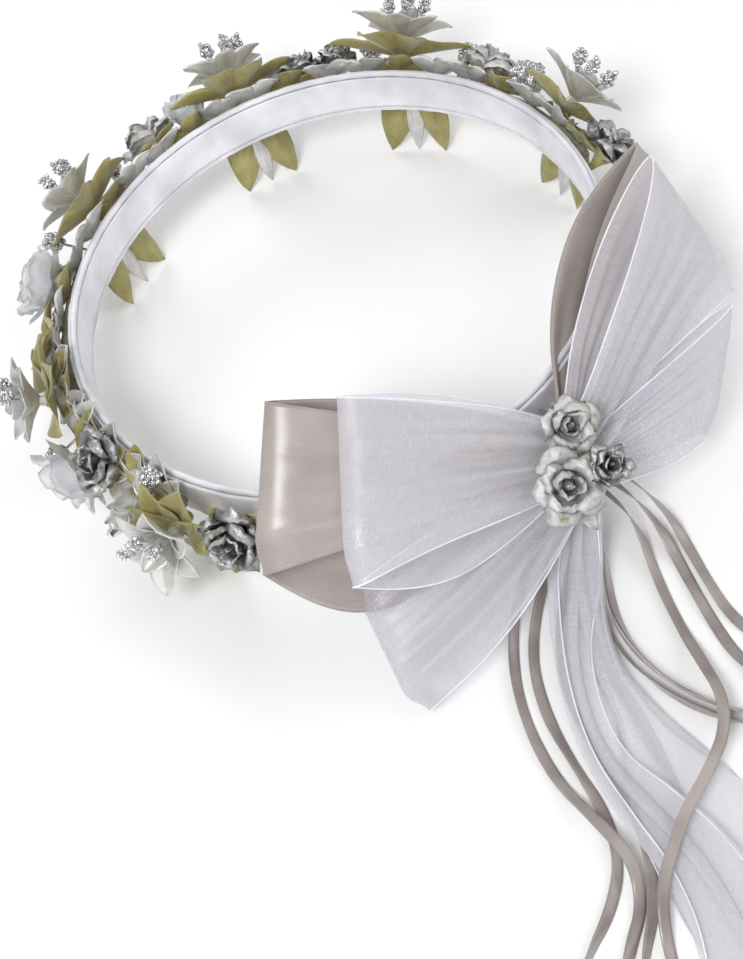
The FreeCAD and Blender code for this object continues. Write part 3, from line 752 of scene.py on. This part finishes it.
def rose(cloth, m, radius, height, seed, crumple=0.3, rings=PAPER_RINGS, roll=0.16, sepals=5):
    """A rose about the matrix's z, its petals in slot 0 and its sepals and stem in slot 1.
    rings: petals, inner and rim radius, rim height, how far the rim turns out."""

    def at(r, angle, z):
        p = m @ vec(r * cos(angle), r * sin(angle), z)
        dent = jitter(p, 0.62, seed + 3)
        dent = Vector([abs(c) ** 0.6 * (1 if c > 0 else -1) for c in dent])
        return p + jitter(p, 0.3, seed) * (2.6 * crumple) + dent * (1.1 * crumple)

    for index, (count, inner, rim, lift, turn) in enumerate(rings):
        for k in range(count):
            middle = seed * 1.7 + index * 0.9 + 2 * pi * k / count
            span = (1.22 + 0.12 * sin(seed + k * 2.3)) * pi / count
            tall = height * lift * (1 + 0.07 * sin(seed * 3 + k * 1.9))
            lean = 0.10 * sin(seed * 2 + k * 2.7 + index)
            rows = []
            for i in range(ROSE_STEPS + 1):
                b = i / ROSE_STEPS
                row = []
                curl = smooth((b - 0.70) / 0.30)
                for j in range(ROSE_STEPS + 1):
                    a = -1 + 2 * j / ROSE_STEPS
                    edge = 1 - 0.34 * abs(a) ** 2.4 + 0.02 * sin(5 * a + seed + k)
                    crease = 1 - abs(a)
                    r = radius * (lerp(inner, rim, b ** 0.7) + lean * b * b)
                    r += radius * roll * turn * curl * (0.55 + 0.8 * crease)
                    r -= 0.10 * radius * a * a * b
                    z = tall * (0.06 + 0.94 * min(b / 0.80, 1.0) ** 0.85) * edge
                    z -= radius * 0.17 * max(turn, 0.0) * curl * curl
                    row.append(at(max(r, 0.15), middle + span * a * (1 - 0.22 * b * b), z))
                rows.append(row)
            cloth.grid(rows)
    for k in range(sepals):
        angle = seed + 2 * pi * (k + 0.4) / sepals
        out = vec(cos(angle), sin(angle), 0.25 + 0.2 * sin(seed + k))
        petal(cloth, m @ axes_at(out * radius * 0.15, out, UP), radius * 1.18, radius * 0.80, 1,
              cup=0.3, bend=-0.10, wave=0.3, seed=seed + k, size=(8, 6))
    stem = [m @ vec(0, 0, z) for z in (-7.0, -5.0, -3.0, 0.5)]
    cloth.tube(stem, lambda t: lerp(0.9, 0.34 * radius, smooth((t - 0.5) * 2)), 1, sides=8)


def flower_axes(angle, lift):
    """Three directions of a flower that faces out of the hoop and up by lift: its axis, up, side."""
    r = polar(1, angle)
    a = radians(lift)
    axis = r * cos(a) + UP * sin(a)
    rise = UP * cos(a) - r * sin(a)
    return axis, rise, axis.cross(rise)


def rose_frame(angle, radius, z, lift):
    axis, rise, side = flower_axes(angle, lift)
    m = Matrix((rise, side, axis)).transposed().to_4x4()
    m.translation = polar(radius, angle, z)
    return m


# angle, ring radius, height, lift, rose radius, rose height
FOIL_ROSES = [
    (-150.5, 95.5, 0, 18, 9, 11),
    (178.5, 94.5, 5.5, 48, 7.6, 10),
    (88.5, 96, 2, 32, 8.6, 12),
    (54.3, 95.5, 1.5, 38, 5.8, 10),
    (47, 95.5, 1.5, 38, 5.8, 10),
    (13.5, 95.5, 1, 34, 8.6, 11),
    (-20.5, 95.4, 0, 30, 8.4, 11),
]
PALE_FOIL_ROSES = (3, 6)
ORGANZA_ROSES = [
    (171.5, 98.5, -3, -14, 9.6, 12),
    (127.5, 96.5, 1, 26, 10.4, 13),
    (60.2, 97.5, -5, 14, 5.6, 10),
    (78.8, 97, 1, 40, 6, 12),
]
SOFT_RINGS = ((2, 0.24, 0.10, 0.9, -0.4), (2, 0.45, 0.42, 1.02, -0.2), (3, 0.55, 0.78, 1.0, -0.1),
              (4, 0.55, 1.06, 0.86, 0.25))


def all_roses():
    for number, (*place, size, height) in enumerate(FOIL_ROSES, 1):
        cloth = Cloth()
        rose(cloth, rose_frame(*place), size * 1.06, height, number * 1.3, crumple=0.45)
        paper = PALE_FOIL if number in PALE_FOIL_ROSES else FOIL
        name = "foil_rose_%d" % number
        hand_in(cloth, name + "_petals", [paper, LEAF], "crown", "antique_foil", name, thickness=PAPER_T)
    for number, (*place, size, height) in enumerate(ORGANZA_ROSES, 1):
        cloth = Cloth()
        rose(cloth, rose_frame(*place), size * 1.16, height, number * 2.1 + 0.5, crumple=0.4,
             rings=SOFT_RINGS, roll=0.2)
        name = "organza_rose_%d" % number
        hand_in(cloth, name + "_petals", [ROSE_ORGANZA, PETAL], "crown", "organza", name)


def clump(cloth, centre, way, size, stretch, grains, grain, seed):
    """A glued clump of glitter grains, longer along way."""
    way = way.normalized()
    side = way.orthogonal().normalized()
    other = way.cross(side)
    for k in range(grains):
        high = 1 - 2 * (k + 0.5) / grains
        flat = sqrt(1 - high * high)
        turn = k * 2.4 + seed
        d = way * (high * stretch) + (side * cos(turn) + other * sin(turn)) * flat
        cloth.blob(centre + d * size * (0.85 + 0.25 * sin(k * 1.7 + seed)),
                   grain * (1 + 0.25 * sin(k * 2.9 + seed)), seed + k * 0.7, 0.3, 1.8, size=(8, 5))
    cloth.blob(centre, size * 0.85, seed, 0.3, 0.9)


# angle, ring radius, height, lift, leaf and petal length, how far the two hanging leaves swing aside
LILIES = [
    (-162.5, 99, -1, 12, 15, 17, (-5, 3)),
    (156, 98.5, 3, 22, 17, 16, (-6, 4)),
    (108, 98.5, 4, 30, 18, 17, (-7, 7)),
    (68.5, 98.5, 5, 34, 19, 17, (-6, 6)),
    (33, 99, 5, 36, 20, 18, (-7, 6)),
    (-6.5, 98, 3, 26, 16, 16, (-6, 6)),
]
LEAF_CLOCKS = (-75, -18, 30, 88)
PETAL_CLOCKS = (-110, -48, 5, 60, 118, 180)
STAMEN_CLOCKS = (-30, 25, 80)
HUB_R = 3.0


def blades(cloth, centre, axes, rows, lift, *, seed, **looks):
    """Petals or leaves about a flower's axis: (clock angle from straight up, length, width)."""
    axis, rise, side = axes
    for index, (clock, length, width) in enumerate(rows):
        c, g = radians(clock), radians(lift)
        flat = rise * cos(c) + side * sin(c)
        m = axes_at(centre, flat * cos(g) + axis * sin(g), axis * cos(g) - flat * sin(g))
        petal(cloth, m, length, width, start=HUB_R - 1.6, seed=seed + index * 1.7, **looks)


def hanging_leaf(cloth, angle, tip_angle, width, top_r, seed, slot=0):
    top = polar(top_r, angle, -2.0)
    tip = polar(88.5, tip_angle, REST_Z + 0.5)
    m = axes_at(top, tip - top, polar(1, angle))
    petal(cloth, m, (tip - top).length, width, slot, cup=0.35, bend=0.0, wave=0.4, seed=seed, size=(14, 8))


def lilies():
    """Six lilies, each of leaves, two rings of petals and three stamens."""
    stamens = Cloth()
    for number, (angle, radius, z, lift, leaf, long, lower) in enumerate(LILIES, 1):
        centre = polar(radius, angle, z)
        axes = flower_axes(angle, lift)
        axis = axes[0]
        leaves = Cloth()
        rows = [(c, leaf + 3.5 + 1.5 * sin(c), 11.5) for c in LEAF_CLOCKS]
        blades(leaves, centre - axis * 2.0, axes, rows, 16, cup=0.40, bend=0.14, wave=0.7, seed=number)
        for side, shift in enumerate(lower):
            hanging_leaf(leaves, angle + 0.1 * shift, angle + shift, 12.2, radius - 1.5,
                         number + side * 2.2)
        hanging_leaf(leaves, angle, angle + 0.3 * sum(lower), 7.5, radius - 0.5, number + 5.0, 1)
        stalk = [centre + axis * t for t in (-6.5, -4.0, -1.5, 0.6)]
        leaves.tube(stalk, lambda t: lerp(1.6, HUB_R, smooth(t)), 0, sides=10)
        hand_in(leaves, "lily_%d_leaf_cloth" % number, [LEAF, PETAL], "crown", "olive_leaf",
                "lily_%d_leaves" % number, thickness=SILK_T)
        petals = Cloth()
        rows = [(c, long + 2.0 * cos(3 * c), 10.0) for c in PETAL_CLOCKS]
        blades(petals, centre + axis * 2.6, axes, rows, 36, cup=0.55, bend=0.20, wave=0.7, ribs=5,
               seed=number * 2.0)
        rows = [(c + 32, long * 0.72, 8.0) for c in PETAL_CLOCKS[::2]]
        blades(petals, centre + axis * 3.4, axes, rows, 58, cup=0.6, bend=0.10, wave=0.3, ribs=3,
               seed=number * 3.0)
        throat = [centre + axis * t for t in (0.6, 2.0, 3.6, 5.0)]
        petals.tube(throat, lambda t: 2.5 - 1.1 * t, 0, sides=10)
        hand_in(petals, "lily_%d_petal_cloth" % number, [PETAL], "crown", "silver_petal",
                "lily_%d_petals" % number, thickness=SILK_T)
        for clock in STAMEN_CLOCKS:
            c = radians(clock)
            lean = axes[1] * cos(c) + axes[2] * sin(c)
            start = centre + axis * 5.0 + lean * 1.4
            way = (axis + lean * 0.42).normalized()
            wire = [start + way * t + lean * (0.02 * t * t) for t in (0, 3, 6, 9)]
            stamens.tube(wire, 0.32, 1, sides=5)
            clump(stamens, wire[-1] + way * 2.2, way, 1.9, 1.5, 22, 0.78, number + clock * 0.1)
    hand_in(stamens, "glitter_stamen_beads", [GLITTER, WIRE], "crown", "silver_glitter", "glitter_stamens")


# angle, ring radius, height, lift
PICKS = ((-168, 94.5, 1.5, 76), (165, 97.5, -3.5, -20), (117, 98, 2, 8),
         (97.5, 98, -2, 10), (40.5, 97, -2, 10), (20.5, 97, 0, 8))


BUD_RINGS = ((2, 0.5, 0.2, 1.0, -0.3), (3, 0.8, 0.6, 0.95, -0.2), (3, 0.9, 1.1, 0.7, 0.3))


def pale_bud():
    bud = Cloth()
    rose(bud, rose_frame(-174.0, 95.0, -3.0, 0), 4.8, 14, 4.0, rings=BUD_RINGS, sepals=4)
    hand_in(bud, "pale_bud_petals", [PETAL, LEAF], "crown", "silver_petal", "pale_bud", thickness=SILK_T)


def crumpled_flower():
    scrap = Cloth()
    m = rose_frame(4.4, 95.5, 4.0, 30)
    scrap.blob(m @ vec(0, 0, 3.5), 5.4, 3.0, 0.55, 0.55, size=(30, 20))
    for k in range(5):
        way = vec(cos(k * 1.3), sin(k * 1.3), 0.5)
        petal(scrap, m @ axes_at(UP, way, UP), 7.5, 5.0, cup=0.8, bend=-0.2, wave=0.9, seed=k * 1.9)
    hand_in(scrap, "crumpled_foil_flower", [GLITTER], "crown", "silver_glitter", "crumpled_foil",
            thickness=0.2)


def leaf_spray():
    spray = Cloth()
    axes = flower_axes(141.5, 30)
    centre = polar(96.0, 141.5, 0.0)
    rows = [(-20, 18, 10.0), (60, 15, 9.0), (160, 19, 10.6), (-100, 13, 8)]
    blades(spray, centre, axes, rows, 15, cup=0.45, bend=0.12, wave=0.5, seed=8.0)
    stalk = [centre + axes[0] * t for t in (-3.6, -1.5, 0.6)]
    spray.tube(stalk, lambda t: lerp(1.6, HUB_R, t), 0, sides=10)
    hand_in(spray, "leaf_spray_cloth", [LEAF], "crown", "olive_leaf", "leaf_spray", thickness=SILK_T)


def glitter_picks():
    picks = Cloth()
    for number, (angle, radius, z, lift) in enumerate(PICKS):
        axis = flower_axes(angle, lift)[0]
        start = polar(radius - 4.8, angle, z * 0.4)
        head = start + axis * 12.5
        picks.tube([start, start + axis * 4, start + axis * 8, head], 0.45, 1, sides=6)
        clump(picks, head, axis, 2.9, 1.15, 40, 1.0, number * 1.3)
    hand_in(picks, "glitter_pick_beads", [GLITTER, WIRE], "crown", "silver_glitter", "glitter_picks")


def fillers():
    """Short leaves and petals taped in between the flowers."""
    leaves, petals = Cloth(), Cloth()
    for k in range(27):
        angle = -15.0 + 8.0 * k
        turn = 42 * sin(k * 2.1)
        cloth = petals if k % 3 else leaves
        rows = [(-78 + turn, 11.5 + 2 * sin(k * 3.3), 8.6), (84 + turn, 12.0, 8.6), (8 + turn, 11.5, 8.8)]
        blades(cloth, polar(92.5, angle, 0.5), flower_axes(angle, 24), rows, 16,
               cup=0.45, bend=0.12, wave=0.7, seed=k * 1.1)
    for k in range(9):
        angle = 152.0 + 5.2 * k
        cloth = leaves if k % 3 == 1 else petals
        rows = [(30 * sin(k * 1.9), 14.0 + 2 * sin(k * 2.7), 9.0), (75 * (-1) ** k, 11.0, 8.4)]
        blades(cloth, polar(92.0, angle, 1.5), flower_axes(angle, 40), rows, 24,
               cup=0.5, bend=0.10, wave=0.8, seed=k * 2.3)
    hand_in(leaves, "filler_leaves", [LEAF], "crown", "olive_leaf", thickness=SILK_T)
    hand_in(petals, "filler_petals", [PETAL], "crown", "silver_petal", thickness=SILK_T)


all_roses()
lilies()
pale_bud()
crumpled_flower()
leaf_spray()
glitter_picks()
fillers()


# ---- the heart of the bow ----
OUTWARD = vec(-0.2, -0.6, 0.78).normalized()
# place from the knot, radius, height, seed
KNOT_ROSES = {
    "knot_rose_main": (vec(-11.2, -10.0, 9.6), 8.4, 10, 2.3),
    "knot_rose_top": (vec(2.0, 0.8, 15.0), 6.6, 9, 5.1),
    "knot_rose_side": (vec(0.6, -15.4, 11.6), 4.8, 8, 7.7),
}


def wrapped(cloth, centre, length, high, deep, seed, pleats=9):
    """A pleated ribbon wound round an X axis."""
    rows = []
    steps = 40
    for i in range(steps + 1):
        share = i / steps
        x = centre.x - length / 2 + length * share
        swell = 1 + 0.10 * sin(pi * share)
        row = []
        for a in circle(36):
            pleat = 0.26 * cos(2 * pi * pleats * share + 0.9 * sin(a + seed))
            d = vec(0, cos(a) * (deep * swell + pleat), sin(a) * (high * swell + pleat))
            row.append(vec(x, centre.y, centre.z) + d)
        rows.append(row)
    cloth.closed(rows)


STRAP_X = (-4.4, 0.4)     # the straps' two edges


def strap(name, body, bar, inner):
    """A narrow ribbon from the binding at inner (y, z), round the wire bar at bar and back."""
    y, z = bar
    out = vec(0, inner[0] - y, inner[1] - z)
    reach = out.length
    out.normalize()
    lift = vec(0, -out.z, out.y)
    base = vec(0, y, z)
    line = [base + out * reach + lift * 1.1, base + out * (reach * 0.5) + lift * 1.15]
    for t in (0.0, 0.5, 1.0, 1.57, 2.1, 2.6, pi):
        line.append(base + lift * (1.2 * cos(t)) - out * (1.2 * sin(t)))
    line += [base + out * (reach * 0.5) - lift * 1.15, base + out * reach - lift * 1.1]
    cloth = Cloth()
    cloth.grid([[p + vec(lerp(*STRAP_X, k / 6), 0, 0) for k in range(7)] for p in through(line, 3)])
    hand_in(cloth, name, [BINDING], body, "binding_satin", thickness=0.4)


def bow_heart():
    knot = Cloth()
    wrapped(knot, KNOT, 9.0, 5.0, 5.0, 0.3)
    hand_in(knot, "bow_knot_wrap", [BINDING], "bow", "binding_satin", "bow_knot")
    strap("bow_strap", "bow", (-94.5, 0.0), (-102.5, -2.8))
    for name, (offset, size, height, seed) in KNOT_ROSES.items():
        cloth = Cloth()
        m = axes_at(KNOT + offset, OUTWARD.orthogonal(), OUTWARD)
        rose(cloth, m, size, height, seed, crumple=0.45, roll=0.2)
        paper = FOIL if name == "knot_rose_side" else PALE_FOIL
        hand_in(cloth, name + "_petals", [paper, LEAF], "bow", "antique_foil", name, thickness=PAPER_T)
    cloth = Cloth()
    ways = ((-0.25, -0.75, -0.35), (-0.85, -0.35, -0.1), (0.5, -0.5, -0.5))
    for k, (way, length) in enumerate(zip(ways, (14, 11, 10))):
        m = axes_at(KNOT + OUTWARD * 8.0 - vec(6, 3, 0), Vector(way), OUTWARD)
        petal(cloth, m, length, 7.0, cup=0.5, bend=0.12, wave=0.5, ribs=3, seed=k * 3.0, start=2.0)
    hand_in(cloth, "knot_petal_paper", [PALE_FOIL], "bow", "antique_foil", "knot_petal", thickness=0.2)


def tails_heart():
    cloth = Cloth()
    wrapped(cloth, vec(-0.4, -104.0, -19.6), 25.0, 4.5, 3.2, 1.7, pleats=14)
    hand_in(cloth, "tail_binding_wrap", [BINDING], "tails", "binding_satin", "tail_binding")
    strap("tail_strap", "tails", (-94.0, -10.0), (-102.5, -17.4))


bow_heart()
tails_heart()


# ---- the hoop ----
BAND_HALF = 6.9
LINING_T, CORE_T, WRAP_T, LAYER_GAP = 0.7, 1.4, 0.9, 0.05
WRAP_IN = OPENING_R + LINING_T + CORE_T + 2 * LAYER_GAP
PIPING_R = 1.1
RING_STEPS = 360


def box_profile(r_in, r_out, half, rows=12):
    """A thin upright strip's outline: inner face up, outer face down."""
    up = [(r_in, lerp(-half, half, k / rows)) for k in range(rows + 1)]
    return up + [(r_out, -z) for _, z in up]


def satin_ring(name, node, profile, shape):
    """A satin strip all round the hoop; shape moves each point of its outline."""
    rows = []
    for i in range(RING_STEPS):
        angle = 360.0 * i / RING_STEPS
        rows.append([polar(*shape(r, angle, z)) for r, z in profile])
    cloth = Cloth()
    cloth.grid(rows, 0, around=True, ring=True)
    hand_in(cloth, name, [WHITE_SATIN], "crown", "white_satin", node)


def hoop():
    def lining(r, angle, z):
        arc = radians(angle) * OPENING_R
        p = polar(OPENING_R, angle, z)
        crease = 0.5 + 0.5 * bumpy(vec(p.x * 0.10 + z * 0.06, p.y * 0.10, z * 0.16), 1.0, 2.0)
        tuck = exp(-((abs(z) - (BAND_HALF - 1.3)) / 0.35) ** 2)
        stitch = 0.10 * tuck * (0.6 + 0.4 * cos(arc * 2 * pi / 2.4))
        seam = 0.35 * exp(-((angle - 78) / 0.35) ** 2)
        return r + (0.30 * crease + stitch + seam if r < OPENING_R + 0.3 else 0.0), angle, z

    outline = box_profile(OPENING_R, OPENING_R + LINING_T, BAND_HALF)
    satin_ring("inner_band_satin", "inner_band", outline, lining)

    def winding(r, angle, z):
        turn = (angle / 360.0 * 26 + z / 30.0) % 1.0
        lap = 0.34 * (1 - turn) * smooth(turn / 0.06) + 0.12 * bumpy(polar(40, angle, z), 0.3, 5.0)
        return r + (lap if r > WRAP_IN + 0.4 else 0.0), angle, z

    outline = box_profile(WRAP_IN, WRAP_IN + WRAP_T, BAND_HALF + 0.6)
    satin_ring("outer_wrap_satin", "outer_wrap", outline, winding)

    cloth = Cloth()
    middle = OPENING_R + PIPING_R + 0.1
    for side in (-1, 1):
        rows = []
        for i in range(RING_STEPS * 2):
            angle = 180.0 * i / RING_STEPS
            row = []
            for a in circle(10):
                swell = 0.05 * cos(a + angle * 1.3) + 0.03 * bumpy(polar(60, angle), 0.6, side)
                r = PIPING_R * (0.95 + swell)
                row.append(polar(middle + r * cos(a), angle, side * (BAND_HALF + PIPING_R) + r * sin(a)))
            rows.append(row)
        cloth.grid(rows, 0, around=True, ring=True)
    hand_in(cloth, "edge_piping_satin", [PIPING], "crown", "white_satin", "edge_piping")


STEM_R, STEM_RING_R = 2.4, 91.0
STEM_FROM, STEM_TO = -18.0, 196.0


def garland_stem():
    cloth = Cloth()
    rows = []
    steps = 420
    for i in range(steps + 1):
        angle = lerp(STEM_FROM, STEM_TO, i / steps)
        row = []
        for k, a in enumerate(circle(14)):
            lap = (i * 0.11 + k / 14) % 1.0
            r = STEM_R * (0.90 + 0.08 * lap + 0.05 * bumpy(polar(70, angle, k), 0.5, 3.0))
            row.append(polar(STEM_RING_R + r * cos(a), angle, r * sin(a)))
        rows.append(row)
    cloth.closed(rows)
    hand_in(cloth, "garland_stem_tape", [TAPE], "crown", "floral_tape", "garland_stem")


BARE = {"band_core": BUCKRAM, "hoop_wires": WIRE, "glue_dots": GLUE, "tie_wires": WIRE}


def bare_nodes():
    """CAD nodes that show as they are, with a material of their own."""
    for name, material in BARE.items():
        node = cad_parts[name]
        node.data.materials.clear()
        node.data.materials.append(material)


hoop()
garland_stem()
bare_nodes()


# ---- floor, lights ----
def add_floor():
    cloth = Cloth()
    reach = (-1500.0, 0.0, 1500.0)
    cloth.grid([[vec(x, y, REST_Z - 0.15) for x in reach] for y in reach])
    s = Shade("floor_paper", 0.75, Specular_IOR_Level=0.15)
    grain = s.cloud(18, 2)
    s.colour(s.ramp(grain, [(0.3, (0.905, 0.905, 0.91)), (0.7, (0.925, 0.925, 0.93))]))
    cloth.build("floor", [s.material])


def add_light(name, place, size, power):
    """A round lamp at a place in metres, of a size in metres, with a power in watts."""
    data = bpy.data.lights.new(name, "AREA")
    data.shape, data.size, data.energy = "DISK", size, power
    lamp = bpy.data.objects.new(name, data)
    lamp.location = place
    lamp.rotation_mode = "QUATERNION"
    lamp.rotation_quaternion = (-Vector(place)).to_track_quat("-Z", "Y")
    bpy.context.scene.collection.objects.link(lamp)


def add_world():
    world = bpy.data.worlds.new("studio")
    world.use_nodes = True
    tree = world.node_tree
    surface = tree.nodes["Background"]
    place = tree.nodes.new("ShaderNodeTexCoord")
    split = tree.nodes.new("ShaderNodeSeparateXYZ")
    ramp = tree.nodes.new("ShaderNodeValToRGB")
    tree.links.new(place.outputs["Generated"], split.inputs[0])
    tree.links.new(split.outputs["Z"], ramp.inputs["Fac"])
    low, high = ramp.color_ramp.elements
    low.position, low.color = 0.0, (0.55, 0.55, 0.57, 1)
    high.position, high.color = 0.9, (1, 1, 1, 1)
    tree.links.new(ramp.outputs["Color"], surface.inputs["Color"])
    surface.inputs["Strength"].default_value = 0.62
    bpy.context.scene.world = world


add_floor()
add_world()
add_light("key", (-0.7, -0.5, 1.1), 0.5, 9.5)
add_light("fill", (0.9, -0.6, 0.7), 0.9, 3.5)
add_light("low", (-0.9, -1.1, 0.35), 0.5, 4.0)
add_light("rim", (0.2, 1.0, 0.6), 0.6, 4)
bpy.context.scene.view_settings.view_transform = "Standard"
